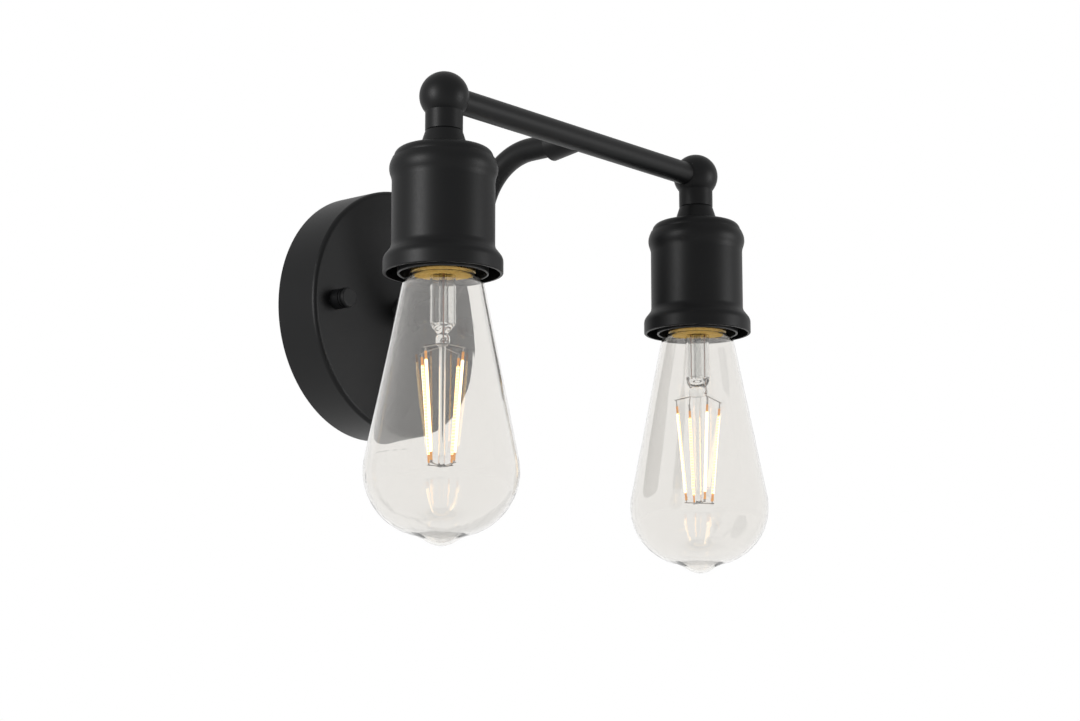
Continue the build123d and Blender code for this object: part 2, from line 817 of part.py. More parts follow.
def bulb_filaments():
    return Compound(
        [
            rod(
                filament_point(index, FILAMENT_TOP_RADIUS, filament_top),
                filament_point(index, FILAMENT_LOW_RADIUS, filament_bottom),
                FILAMENT_DIAMETER / 2,
            )
            for index in range(FILAMENT_COUNT)
        ]
    )


def support_rods():
    """Lead and branches on each side of the press, and the cross at the rod's foot."""
    wire = SUPPORT_DIAMETER / 2
    sides = {}
    foot = Vector(0, 0, rod_bottom + SUPPORT_DIAMETER)
    cross = None
    for index in range(FILAMENT_COUNT):
        top = filament_point(index, FILAMENT_TOP_RADIUS, filament_top)
        low = filament_point(index, FILAMENT_LOW_RADIUS, filament_bottom)
        side = RIGHT if top.X > 0 else LEFT
        start = Vector(side * SUPPORT_SPREAD / 2, 0, press_bottom + SUPPORT_DEPTH)
        lead = rod(start, Vector(start.X, 0, root_bottom - CONTACT_GAP), wire)
        branch = rod(start, top, wire) + Pos(start) * Sphere(wire)
        sides[side] = sides.get(side, lead) + branch
        spoke = rod(foot, low, wire)
        cross = spoke if cross is None else cross + spoke
    return [*sides.values(), cross]


def bulb_supports():
    """Support wires, which end at the filaments' sides."""
    filaments = bulb_filaments()
    return Compound([solid for wire in support_rods() for solid in (wire - filaments).solids()])


def bulb_stem():
    """Flared tube sealed in the envelope's neck, pinched to a press, with a rod below it."""
    stem_r = STEM_DIAMETER / 2
    bore_r = stem_r - STEM_WALL
    flare_r = neck_r - BULB_GLASS - FIT
    exhaust_r = EXHAUST_DIAMETER / 2
    press_middle = pinch - PRESS_LENGTH / 2
    stem = turned(
        profile(
            [
                (bore_r, stem_top),
                (flare_r, stem_top),
                (flare_r, stem_top - STEM_WALL),
                (stem_r, stem_top - STEM_WALL),
                (stem_r, funnel_top),
                (bore_r, funnel_top),
            ],
            [STEM_FLARE_RADIUS, 0, 0, 0, 0, 0],
        )
    )
    waist = Ellipse(PINCH_WIDTH / 2, PINCH_THICKNESS / 2)
    funnel = loft(
        [
            Pos(0, 0, funnel_top) * Circle(stem_r),
            Pos(0, 0, funnel_top - FUNNEL_BEND) * Ellipse(stem_r, FUNNEL_BEND_THICKNESS / 2),
            Pos(0, 0, pinch) * waist,
        ]
    )
    floor = pinch + FUNNEL_FLOOR
    floor_r = FUNNEL_FLOOR_DIAMETER / 2
    funnel -= turned(profile([(0, floor), (floor_r, floor), (bore_r, funnel_top), (0, funnel_top)], [0] * 4))
    stem += funnel + tube(exhaust_r, exhaust_r - EXHAUST_WALL, floor, stem_top)
    stem += Pos(0, 0, press_middle) * extrude(waist, pinch - press_middle)
    press = extrude(SlotOverall(PRESS_WIDTH, PRESS_THICKNESS), PRESS_LENGTH)
    ends = press.edges().group_by(Axis.Z)
    stem += Pos(0, 0, press_bottom) * fillet(ends[0] + ends[-1], PRESS_ROUND)
    stem += post(ROD_DIAMETER / 2, rod_bottom, press_middle)
    for wire in support_rods():
        stem -= wire
    return stem


# Wires and splices


def lamp_wire(side, lane):
    """Wire from a terminal through nipple, ball, crossbar and arm to a splice inside the plate."""
    rise = -side * WIRE_LANE
    lamp_x = side * LAMP_SPACING / 2
    arm_x = side * lane * WIRE_LANE
    bar_y = -LAMP_REACH + lane * WIRE_LANE
    bar_z = BAR_HEIGHT + rise
    terminal_run = (TERMINAL_SPREAD - TERMINAL_HEAD_DIAMETER) / 2 - CONTACT_GAP
    terminal_z = BAR_HEIGHT + holder_seam + wire_r + CONTACT_GAP
    plate_y = -WIRE_TURN_DEPTH - rise
    splice_x = math.copysign(SPLICE_OFFSET, arm_x)
    high, low = [(arm_x, y, z) for x, y, z in arm_points(rise)]
    points = [
        (lamp_x + lane * terminal_run, bar_y, terminal_z),
        (lamp_x, bar_y, terminal_z),
        (lamp_x, bar_y, bar_z),
        (arm_x, bar_y, bar_z),
        high,
        low,
        (arm_x, plate_y, rise),
        (arm_x, plate_y, WIRE_SPLIT_HEIGHT),
        (splice_x, plate_y, SPLICE_MOUTH_HEIGHT - WIRE_PLATE_BEND),
        (splice_x, plate_y, SPLICE_MOUTH_HEIGHT + SPLICE_GRIP),
    ]
    radii = [
        WIRE_TERMINAL_BEND,
        WIRE_BALL_BEND,
        WIRE_BAR_BEND + (1 - lane) * WIRE_LANE,
        ARM_BEND_RADIUS + rise,
        ARM_BEND_RADIUS - rise,
        WIRE_PLATE_BEND - rise,
        WIRE_PLATE_BEND,
        WIRE_PLATE_BEND,
    ]
    return bent_rod(points, radii, wire_r)


def splice_cap(side):
    """Closed cap over the ends of one wire from each lamp."""
    mouth = SPLICE_MOUTH_HEIGHT
    top = mouth + SPLICE_LENGTH
    bore_top = mouth + SPLICE_GRIP + CONTACT_GAP
    bore_r = WIRE_LANE + wire_r + CONTACT_GAP
    cap = turned(
        Polyline(
            (bore_r, mouth),
            (SPLICE_DIAMETER / 2, mouth),
            (SPLICE_TOP_DIAMETER / 2, top),
            (0, top),
            (0, bore_top),
            (bore_r, bore_top),
            close=True,
        )
    )
    return Pos(side * SPLICE_OFFSET, -WIRE_TURN_DEPTH, 0) * cap


def fixture_pieces():
    """Everything at the wall and on the arm, by name."""
    return {
        "mounting_strap": mounting_strap(),
        "strap_studs": strap_studs(),
        "stud_nuts": stud_nuts(),
        "earth_screw": earth_screw(),
        "back_plate": back_plate(),
        "left_cap_nut": cap_nut(LEFT),
        "right_cap_nut": cap_nut(RIGHT),
        "arm_tube": arm_tube(),
        "arm_foot_collar": arm_foot_collar(),
        "arm_nipple": arm_nipple(),
        "arm_washer": arm_washer(),
        "arm_nut": arm_nut(),
        "arm_saddle": arm_saddle(),
        "crossbar": crossbar(),
        "live_splice_cap": splice_cap(RIGHT),
        "neutral_splice_cap": splice_cap(LEFT),
    }


def lamp_pieces():
    """One lamp without its bulb, by name."""
    return {
        "ball_fitting": ball_fitting(),
        "lamp_nipple": lamp_nipple(),
        "cup_cap": cup_cap(),
        "cup": cup(),
        "holder_nut": holder_nut(),
        "holder_cap": holder_cap(),
        "holder_body": holder_body(),
        "terminal_screws": terminal_screws(),
        "screw_shell": screw_shell(),
        "contact_leaf": contact_leaf(),
    }


def bulb_base_pieces():
    return {
        "bulb_base": bulb_base(),
        "bulb_insulator": bulb_insulator(),
        "bulb_tip": bulb_tip(),
        "bulb_glass": bulb_glass(),
    }


def bulb_inner_pieces():
    return {
        "bulb_driver": bulb_driver(),
        "bulb_neck_disc": bulb_neck_disc(),
        "bulb_stem": bulb_stem(),
        "bulb_supports": bulb_supports(),
        "bulb_filaments": bulb_filaments(),
    }


def all_pieces():
    pieces = fixture_pieces()
    lamp = lamp_pieces()
    base = bulb_base_pieces()
    inner = bulb_inner_pieces()
    for name, side in SIDES.items():
        place = lamp_place(side)
        bar_side = Rot(0, 0, 0 if side == LEFT else 180)
        turn = Rot(0, 0, BULB_TURNS[name])
        for piece, shape in lamp.items():
            turned_in = bar_side if piece == "ball_fitting" else Rot(0, 0, 0)
            pieces[f"{name}_{piece}"] = place * turned_in * shape
        for piece, shape in base.items():
            pieces[f"{name}_{piece}"] = place * shape
        for piece, shape in inner.items():
            pieces[f"{name}_{piece}"] = place * turn * shape
        pieces[f"{name}_live_wire"] = lamp_wire(side, side)
        pieces[f"{name}_neutral_wire"] = lamp_wire(side, -side)
    return pieces


os.makedirs("parts", exist_ok=True)
for node, solid in all_pieces().items():
    export_step(solid, f"parts/{node}.step")
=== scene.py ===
# %% [markdown]
# # A two-lamp wall light with clear bulbs
#
# The real object is a satin black wall light: a round plate, a bent arm, a crossbar, and two cups that hang
# from balls at the bar's ends. Each cup holds a clear pear-shaped bulb with four glowing filaments.
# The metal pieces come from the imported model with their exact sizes. This lesson gives every one of them a
# finish, and builds what a simple solid can't show: the filaments, wires and fillings inside the bulbs.

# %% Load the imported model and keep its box
from math import cos, radians, sin, tau

import bmesh
import bpy
from mathutils import Matrix, Vector


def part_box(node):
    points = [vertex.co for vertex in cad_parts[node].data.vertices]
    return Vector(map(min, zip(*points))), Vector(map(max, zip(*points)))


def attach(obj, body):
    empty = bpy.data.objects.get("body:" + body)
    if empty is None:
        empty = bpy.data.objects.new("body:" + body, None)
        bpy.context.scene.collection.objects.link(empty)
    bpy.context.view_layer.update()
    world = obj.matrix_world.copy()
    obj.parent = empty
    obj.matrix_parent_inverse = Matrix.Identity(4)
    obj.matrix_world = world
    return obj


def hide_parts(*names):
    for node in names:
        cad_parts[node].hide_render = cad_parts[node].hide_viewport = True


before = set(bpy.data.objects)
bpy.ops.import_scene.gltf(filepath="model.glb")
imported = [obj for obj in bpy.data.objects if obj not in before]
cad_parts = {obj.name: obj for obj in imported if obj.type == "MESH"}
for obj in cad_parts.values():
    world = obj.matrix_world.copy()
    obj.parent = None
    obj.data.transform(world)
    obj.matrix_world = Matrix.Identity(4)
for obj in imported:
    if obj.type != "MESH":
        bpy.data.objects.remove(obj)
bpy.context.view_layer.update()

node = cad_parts
MM = 0.001
SIDES = ("left", "right")
print(len(node), "nodes loaded")

# %% [markdown]
# ## The camera
#
# The photograph was taken from the left and a little below, with a long lens. Its place was found by matching
# edges of the plate, the bar, the cups and the bulbs. A quaternion that points the camera's own -Z along the
# view and keeps its Y upright is simpler than three angles.

# %% Camera
LENS_MM = 77.19
SENSOR_MM = 36.0
NEAREST_SEEN = 0.01
EYE = Vector((-0.77776, -0.76699, -0.20975))
VIEW = Vector((0.7516, 0.6367, 0.1718))

lens = bpy.data.cameras.new("camera")
lens.sensor_fit = "HORIZONTAL"
lens.sensor_width = SENSOR_MM
lens.lens = LENS_MM
lens.clip_start = NEAREST_SEEN
camera = bpy.data.objects.new("camera", lens)
camera.location = EYE
camera.rotation_euler = VIEW.to_track_quat("-Z", "Y").to_euler()
bpy.context.scene.collection.objects.link(camera)
bpy.context.scene.camera = camera
bpy.context.scene.view_settings.view_transform = "Standard"
print("camera at", tuple(round(v, 3) for v in EYE))

# %% [markdown]
# ## The studio
#
# The background is pure white. A Light Path node shows white to the camera, to sharp reflections and to what
# is seen through glass, while the light that falls on the object stays at a plain level. Rough surfaces mirror
# a room that is brighter below, where a white table lies, than above. Two wide soft boxes, one to the left and
# one in front, make the soft upright bands on the black cups. Light linking leaves some things out of their
# reach: clear glass would mirror them as bright squares, the brass bases would burn out, and the floor would
# get bright spots that show in the glass.

# %% Studio
ROOM_LIGHT = 0.6
LOW_SHINE, HIGH_SHINE = 1.2, 0.9
WHITE = (1, 1, 1, 1)
MIDDLE = Vector((0.0, -0.12, 0.0))
BOX_DISTANCE = 1.8
LEFT_BOX = dict(away=(-0.987, 0.164, 0.12), size=(0.5, 0.9), watts=40)
FRONT_BOX = dict(away=(0.5, -0.86, -0.03), size=(0.7, 0.9), watts=22)


def link(tree, source, target):
    tree.links.new(source, target)


def maths(tree, operation, *values):
    """A Math node whose inputs are numbers or other nodes' outputs."""
    made = tree.nodes.new("ShaderNodeMath")
    made.operation = operation
    for slot, value in enumerate(values):
        if isinstance(value, (int, float)):
            made.inputs[slot].default_value = value
        else:
            link(tree, value, made.inputs[slot])
    return made.outputs[0]


def blend(tree, factor, first, second):
    """A number between two others, which are plain values or other nodes' outputs."""
    rest = maths(tree, "SUBTRACT", 1.0, factor)
    return maths(tree, "ADD", maths(tree, "MULTIPLY", rest, first), maths(tree, "MULTIPLY", factor, second))


def highest(tree, *values):
    """The largest of several nodes' outputs."""
    top = values[0]
    for value in values[1:]:
        top = maths(tree, "MAXIMUM", top, value)
    return top


def seen_sharply(tree, ray):
    """1 for what is seen directly, in a sharp mirror image or through glass, and 0 for other light."""
    return highest(tree, ray["Is Camera Ray"], ray["Is Transmission Ray"], ray["Is Singular Ray"])


world = bpy.data.worlds.new("studio")
world.use_nodes = True
bpy.context.scene.world = world
sky = world.node_tree
sky.nodes.clear()
ray = sky.nodes.new("ShaderNodeLightPath").outputs
direction = sky.nodes.new("ShaderNodeSeparateXYZ")
link(sky, sky.nodes.new("ShaderNodeTexCoord").outputs["Generated"], direction.inputs[0])
upward = maths(sky, "MULTIPLY_ADD", direction.outputs["Z"], 0.5, 0.5)
sheen = blend(sky, upward, LOW_SHINE, HIGH_SHINE)
lit = blend(sky, ray["Is Glossy Ray"], ROOM_LIGHT, sheen)
backdrop = sky.nodes.new("ShaderNodeBackground")
backdrop.inputs["Color"].default_value = WHITE
link(sky, blend(sky, seen_sharply(sky, ray), lit, 1.0), backdrop.inputs["Strength"])
link(sky, backdrop.outputs[0], sky.nodes.new("ShaderNodeOutputWorld").inputs["Surface"])

unlit = bpy.data.collections.new("out_of_the_boxes_reach")


def soft_box(name, away, size, watts):
    """An area lamp that stands off the object's middle, looks at it and leaves out what is in `unlit`."""
    light = bpy.data.lights.new(name, "AREA")
    light.shape = "RECTANGLE"
    light.size, light.size_y = size
    light.energy = watts
    body = bpy.data.objects.new(name, light)
    body.light_linking.receiver_collection = unlit
    away = Vector(away).normalized()
    body.location = MIDDLE + away * BOX_DISTANCE
    body.rotation_euler = (-away).to_track_quat("-Z", "Y").to_euler()
    bpy.context.scene.collection.objects.link(body)


soft_box("left_box", **LEFT_BOX)
soft_box("front_box", **FRONT_BOX)
print("studio ready")

# %% [markdown]
# ## The floor
#
# A plain pale floor far below catches light and throws some of it up. To the camera, and in and through
# glass, a little glow of its own makes it as white as the background. Rough coats mirror it as a brightly lit
# table. Its plain light on the object stays the same.

# %% Floor
FLOOR_Z = -0.62
FLOOR_HALF = 3.0
FLOOR_GLOW, FLOOR_SHINE = 0.5, 0.95

floor_mesh = bpy.data.meshes.new("floor")
bm = bmesh.new()
bmesh.ops.create_grid(bm, x_segments=1, y_segments=1, size=FLOOR_HALF)
bmesh.ops.translate(bm, verts=bm.verts, vec=(0, 0, FLOOR_Z))
bm.to_mesh(floor_mesh)
bm.free()
floor = bpy.data.objects.new("floor", floor_mesh)
bpy.context.scene.collection.objects.link(floor)
floor_finish = bpy.data.materials.new("pale_floor")
floor_finish.use_nodes = True
floor_shader = floor_finish.node_tree.nodes["Principled BSDF"]
floor_shader.inputs["Base Color"].default_value = (0.86, 0.86, 0.85, 1)
floor_shader.inputs["Roughness"].default_value = 0.7
floor_tree = floor_finish.node_tree
floor_ray = floor_tree.nodes.new("ShaderNodeLightPath").outputs
mirrored = maths(floor_tree, "MULTIPLY", floor_ray["Is Glossy Ray"], FLOOR_SHINE)
glow = blend(floor_tree, seen_sharply(floor_tree, floor_ray), mirrored, FLOOR_GLOW)
floor_shader.inputs["Emission Color"].default_value = WHITE
link(floor_tree, glow, floor_shader.inputs["Emission Strength"])
floor_mesh.materials.append(floor_finish)
unlit.objects.link(floor)
print("floor at", FLOOR_Z)

# %% [markdown]
# ## Shared surface effects
#
# Sprayed coats, moulded plastic and rolled metal all carry a fine irregular grain, and all of them have been
# handled. Both effects are node groups, so each material places them with its own scale and limits. A group
# gives out only values that change over the surface, and the shader stays in the material.


# %% Group: grain
NOISE_LOW, NOISE_HIGH = 0.3, 0.7


def new_group(name, numbers_in, numbers_out):
    """An empty shader node group with named number sockets, and its inner ends."""
    group = bpy.data.node_groups.new(name, "ShaderNodeTree")
    for label, value in numbers_in:
        socket = group.interface.new_socket(label, in_out="INPUT", socket_type="NodeSocketFloat")
        socket.default_value = value
    for label in numbers_out:
        group.interface.new_socket(label, in_out="OUTPUT", socket_type="NodeSocketFloat")
    start = group.nodes.new("NodeGroupInput")
    end = group.nodes.new("NodeGroupOutput")
    return group, start, end


def map_range(tree, value, low, high):
    """A noise value, spread between two limits."""
    spread = tree.nodes.new("ShaderNodeMapRange")
    spread.inputs["From Min"].default_value = NOISE_LOW
    spread.inputs["From Max"].default_value = NOISE_HIGH
    link(tree, value, spread.inputs["Value"])
    link(tree, low, spread.inputs["To Min"])
    link(tree, high, spread.inputs["To Max"])
    return spread.outputs["Result"]


grain, grain_in, grain_out = new_group(
    "grain",
    [("Scale", 900.0), ("Roughness Low", 0.4), ("Roughness High", 0.5), ("Stretch", 1.0)],
    ["Roughness", "Height"],
)
place = grain.nodes.new("ShaderNodeTexCoord")
squeeze = grain.nodes.new("ShaderNodeCombineXYZ")
squeeze.inputs["X"].default_value = 1.0
squeeze.inputs["Y"].default_value = 1.0
link(grain, grain_in.outputs["Stretch"], squeeze.inputs["Z"])
stretched = grain.nodes.new("ShaderNodeVectorMath")
stretched.operation = "MULTIPLY"
link(grain, place.outputs["Object"], stretched.inputs[0])
link(grain, squeeze.outputs[0], stretched.inputs[1])
speckle = grain.nodes.new("ShaderNodeTexNoise")
speckle.inputs["Detail"].default_value = 3.0
link(grain, stretched.outputs[0], speckle.inputs["Vector"])
link(grain, grain_in.outputs["Scale"], speckle.inputs["Scale"])
rough_low, rough_high = grain_in.outputs["Roughness Low"], grain_in.outputs["Roughness High"]
link(grain, map_range(grain, speckle.outputs["Fac"], rough_low, rough_high), grain_out.inputs["Roughness"])
link(grain, speckle.outputs["Fac"], grain_out.inputs["Height"])
print("group", grain.name)

# %% Group: handling
handling, handling_in, handling_out = new_group(
    "handling",
    [("Scale", 25.0), ("Least", 0.0), ("Most", 1.0)],
    ["Mask"],
)
place = handling.nodes.new("ShaderNodeTexCoord")
cloud = handling.nodes.new("ShaderNodeTexNoise")
cloud.inputs["Detail"].default_value = 5.0
link(handling, place.outputs["Object"], cloud.inputs["Vector"])
link(handling, handling_in.outputs["Scale"], cloud.inputs["Scale"])
least, most = handling_in.outputs["Least"], handling_in.outputs["Most"]
link(handling, map_range(handling, cloud.outputs["Fac"], least, most), handling_out.inputs["Mask"])
print("group", handling.name)

# %% [markdown]
# ## One way to make every opaque finish
#
# A finish is a Principled shader whose base colour moves between two close tones with the handling mask, and
# whose roughness and bump come from the grain. Values that are the same all over sit on the shader's own
# sockets.


# %% Finish maker
def put_group(tree, group, **values):
    """Place a node group and set its inputs by name, with underscores for spaces."""
    placed = tree.nodes.new("ShaderNodeGroup")
    placed.node_tree = group
    for label, value in values.items():
        placed.inputs[label.replace("_", " ")].default_value = value
    return placed


def new_finish(name, sockets):
    """A material with a Principled shader and plain values on its sockets."""
    finish = bpy.data.materials.new(name)
    finish.use_nodes = True
    shader = finish.node_tree.nodes["Principled BSDF"]
    for label, value in sockets.items():
        shader.inputs[label].default_value = value
    return finish, finish.node_tree, shader


def two_tones(tree, mask, dark, light):
    """A colour that moves from a dark tone to a light one with a mask."""
    tones = tree.nodes.new("ShaderNodeMix")
    tones.data_type = "RGBA"
    tones.inputs["A"].default_value = (*dark, 1)
    tones.inputs["B"].default_value = (*light, 1)
    link(tree, mask, tones.inputs["Factor"])
    return tones.outputs["Result"]


def bump(tree, height, strength, depth):
    """A Bump node for a height, with its depth in metres."""
    raised = tree.nodes.new("ShaderNodeBump")
    raised.inputs["Strength"].default_value = strength
    raised.inputs["Distance"].default_value = depth
    link(tree, height, raised.inputs["Height"])
    return raised.outputs["Normal"]


def solid_finish(
    name, dark, light, grain_values, handling_scale=25.0, strength=0.15, depth=0.05 * MM, **sockets
):
    """An opaque finish from two tones, a grain and plain shader values."""
    plain = {label.replace("_", " "): value for label, value in sockets.items()}
    finish, tree, shader = new_finish(name, plain)
    handled = put_group(tree, handling, Scale=handling_scale)
    grained = put_group(tree, grain, **grain_values)
    link(tree, two_tones(tree, handled.outputs["Mask"], dark, light), shader.inputs["Base Color"])
    link(tree, grained.outputs["Roughness"], shader.inputs["Roughness"])
    link(tree, bump(tree, grained.outputs["Height"], strength, depth), shader.inputs["Normal"])
    return finish


def dress(finish, *names):
    """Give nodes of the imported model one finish."""
    for name in names:
        node[name].data.materials.clear()
        node[name].data.materials.append(finish)


print("finish maker ready")

# %% [markdown]
# ## Satin black coat
#
# Plate, arm, bar, balls and cups wear one sprayed coat. It is nearly black, with a dull sheen and a very fine
# orange-peel grain. A low specular level keeps a black coat black in a white room, and its edges still catch
# light, because every coat reflects more at a glancing angle.

# %% Satin black coat
black_coat = solid_finish(
    "satin_black_coat",
    (0.0024, 0.0025, 0.0027),
    (0.004, 0.0041, 0.0043),
    dict(Scale=1400.0, Roughness_Low=0.41, Roughness_High=0.47),
    Specular_IOR_Level=0.115,
)
BLACK_PIECES = ["back_plate", "arm_tube", "arm_foot_collar", "arm_saddle", "crossbar"]
for side in SIDES:
    BLACK_PIECES += [f"{side}_{piece}" for piece in ("cap_nut", "ball_fitting", "cup_cap", "cup")]
dress(black_coat, *BLACK_PIECES)
print(black_coat.name, "on", len(BLACK_PIECES), "pieces")

# %% [markdown]
# ## Lampholder plastic, brass and plated steel
#
# The lampholder is moulded in dull black plastic around a brass screw shell. Brass tarnishes a little, so its
# two tones lie further apart. The strap, studs and nuts are zinc plated, with a cloudy, slightly blue grey.

# %% Lampholder and fixings
phenolic = solid_finish(
    "moulded_black",
    (0.006, 0.006, 0.006),
    (0.011, 0.011, 0.011),
    dict(Scale=700.0, Roughness_Low=0.38, Roughness_High=0.5),
    Specular_IOR_Level=0.3,
)
brass = solid_finish(
    "pressed_brass",
    (0.66, 0.45, 0.16),
    (0.86, 0.66, 0.28),
    dict(Scale=500.0, Roughness_Low=0.24, Roughness_High=0.38),
    handling_scale=60.0,
    Metallic=1.0,
)
zinc = solid_finish(
    "zinc_plate",
    (0.48, 0.49, 0.5),
    (0.68, 0.69, 0.68),
    dict(Scale=420.0, Roughness_Low=0.28, Roughness_High=0.45),
    handling_scale=90.0,
    Metallic=1.0,
)
green_zinc = solid_finish(
    "green_zinc",
    (0.03, 0.22, 0.07),
    (0.06, 0.34, 0.12),
    dict(Scale=600.0, Roughness_Low=0.3, Roughness_High=0.42),
    Metallic=0.6,
)
solder = solid_finish(
    "dull_solder",
    (0.5, 0.5, 0.49),
    (0.68, 0.68, 0.66),
    dict(Scale=800.0, Roughness_Low=0.35, Roughness_High=0.55),
    handling_scale=200.0,
    Metallic=1.0,
)
for side in SIDES:
    dress(phenolic, f"{side}_holder_cap", f"{side}_holder_body")
    dress(brass, f"{side}_screw_shell", f"{side}_contact_leaf", f"{side}_terminal_screws")
    dress(brass, f"{side}_bulb_base")
    dress(zinc, f"{side}_lamp_nipple", f"{side}_holder_nut")
    dress(solder, f"{side}_bulb_tip")
dress(zinc, "mounting_strap", "strap_studs", "stud_nuts", "arm_nipple", "arm_washer", "arm_nut")
dress(green_zinc, "earth_screw")
print("lampholder and fixings dressed")

# %% [markdown]
# ## Wires, splices, insulator, board and neck disc
#
# One wire of each lamp is black and the other white. The splice caps are pale moulded plastic. The bulb's
# insulator is dark fused glass, and its driver board is green with a fine mottle. A rough gilt disc in the
# neck hides the base from below. The filaments light it, and a little glow of its own stands for that.

# %% Small electrical pieces
black_wire = solid_finish(
    "black_insulation",
    (0.012, 0.012, 0.012),
    (0.02, 0.02, 0.02),
    dict(Scale=300.0, Roughness_Low=0.4, Roughness_High=0.52),
)
white_wire = solid_finish(
    "white_insulation",
    (0.72, 0.72, 0.69),
    (0.82, 0.82, 0.8),
    dict(Scale=300.0, Roughness_Low=0.4, Roughness_High=0.52),
)
splice = solid_finish(
    "splice_plastic",
    (0.66, 0.62, 0.54),
    (0.76, 0.73, 0.66),
    dict(Scale=500.0, Roughness_Low=0.28, Roughness_High=0.36),
)
fused_glass = solid_finish(
    "fused_dark_glass",
    (0.008, 0.008, 0.01),
    (0.02, 0.02, 0.024),
    dict(Scale=400.0, Roughness_Low=0.08, Roughness_High=0.16),
    handling_scale=150.0,
)
gilt = solid_finish(
    "rough_gilt",
    (0.72, 0.4, 0.07),
    (1.0, 0.74, 0.24),
    dict(Scale=500.0, Roughness_Low=0.45, Roughness_High=0.7),
    handling_scale=600.0,
    strength=0.5,
    depth=0.3 * MM,
    Emission_Color=(0.9, 0.58, 0.16, 1),
    Emission_Strength=0.3,
)
board = solid_finish(
    "circuit_board",
    (0.015, 0.12, 0.05),
    (0.04, 0.24, 0.1),
    dict(Scale=900.0, Roughness_Low=0.35, Roughness_High=0.5),
    handling_scale=900.0,
)
dress(splice, "live_splice_cap", "neutral_splice_cap")
for side in SIDES:
    dress(black_wire, f"{side}_live_wire")
    dress(white_wire, f"{side}_neutral_wire")
    dress(fused_glass, f"{side}_bulb_insulator")
    dress(board, f"{side}_bulb_driver")
    dress(gilt, f"{side}_bulb_neck_disc")
print("electrical pieces dressed")

# %% [markdown]
# ## Clear glass
#
# The envelope is a real shell about a millimetre thick, so full transmission and a pale grey tint, which each
# wall adds to, do most of the work. The refractive index is higher than that of real glass, because the glass
# in the photograph mirrors the white room strongly in front of the black plate. A very weak, long bump gives
# the slight unevenness of blown glass.

# %% Clear glass
GLASS_TINT = (0.885, 0.872, 0.85, 1)
STEM_TINT = (0.94, 0.945, 0.94, 1)
GLASS_IOR = 1.7
WAVE_STRENGTH, WAVE_STRETCH = 0.1, 0.4


def clear_finish(name, tint, wave_scale, wave_depth):
    """Glass with a faint unevenness."""
    finish, tree, shader = new_finish(
        name,
        {
            "Base Color": tint,
            "Roughness": 0.0,
            "IOR": GLASS_IOR,
            "Transmission Weight": 1.0,
        },
    )
    waves = put_group(tree, grain, Scale=wave_scale, Stretch=WAVE_STRETCH)
    uneven = bump(tree, waves.outputs["Height"], WAVE_STRENGTH, wave_depth)
    link(tree, uneven, shader.inputs["Normal"])
    return finish


envelope_glass = clear_finish("envelope_glass", GLASS_TINT, wave_scale=45.0, wave_depth=0.2 * MM)
stem_glass = clear_finish("stem_glass", STEM_TINT, wave_scale=160.0, wave_depth=0.1 * MM)
for side in SIDES:
    dress(envelope_glass, f"{side}_bulb_glass")
    dress(stem_glass, f"{side}_bulb_stem")
    for piece in ("bulb_glass", "bulb_stem", "bulb_base"):
        unlit.objects.link(node[f"{side}_{piece}"])
for entry in unlit.collection_objects:
    entry.light_linking.link_state = "EXCLUDE"
print("glass dressed")

# %% [markdown]
# ## What glows inside
#
# Each filament is a thin strip of lights in a phosphor sleeve, with a dim amber end and a metal tab at both
# ends. The lights face outwards, so that half of the sleeve glows warm white. Its back, which faces the middle
# of the bulb, glows dimmer and warmer. The row of lights shows as a beading, so both colours follow a wave
# along the height.

# %% Filament finishes
BEAD_PITCH = 1.35 * MM
FRONT_GLOW, BACK_GLOW = 3.2, 2.4


def beaded_glow(name, strength, dark, light):
    """A glowing finish whose colour moves between two tones once for each light in the row."""
    finish, tree, shader = new_finish(name, {"Roughness": 0.5, "Emission Strength": strength})
    apart = tree.nodes.new("ShaderNodeSeparateXYZ")
    link(tree, tree.nodes.new("ShaderNodeTexCoord").outputs["Object"], apart.inputs[0])
    wave = maths(tree, "SINE", maths(tree, "MULTIPLY", apart.outputs["Z"], tau / BEAD_PITCH))
    tone = two_tones(tree, maths(tree, "MULTIPLY_ADD", wave, 0.5, 0.5), dark, light)
    link(tree, tone, shader.inputs["Emission Color"])
    link(tree, tone, shader.inputs["Base Color"])
    return finish


sleeve_front = beaded_glow("sleeve_front", FRONT_GLOW, (1.0, 0.68, 0.32), (1.0, 0.82, 0.52))
sleeve_back = beaded_glow("sleeve_back", BACK_GLOW, (1.0, 0.5, 0.16), (1.0, 0.75, 0.42))
amber_end = solid_finish(
    "amber_end",
    (0.55, 0.22, 0.03),
    (0.8, 0.36, 0.06),
    dict(Scale=600.0, Roughness_Low=0.3, Roughness_High=0.45),
    handling_scale=300.0,
    Emission_Color=(1.0, 0.42, 0.08, 1),
    Emission_Strength=0.45,
)
copper = solid_finish(
    "copper_lead",
    (0.3, 0.1, 0.06),
    (0.46, 0.18, 0.11),
    dict(Scale=900.0, Roughness_Low=0.3, Roughness_High=0.45),
    handling_scale=300.0,
    Metallic=0.7,
)
nickel = solid_finish(
    "nickel_wire",
    (0.3, 0.28, 0.26),
    (0.5, 0.47, 0.44),
    dict(Scale=900.0, Roughness_Low=0.25, Roughness_High=0.4),
    handling_scale=300.0,
    Metallic=1.0,
)
print("filament finishes ready")

# %% [markdown]
# ## Filaments and the wires that carry them
#
# The inside of a bulb is drawn once about the Z axis and then turned and moved into each bulb. Straight round
# pieces start as cones of equal radii from `create_cone`, which stand on Z, so one matrix turns them onto the
# line between two points.

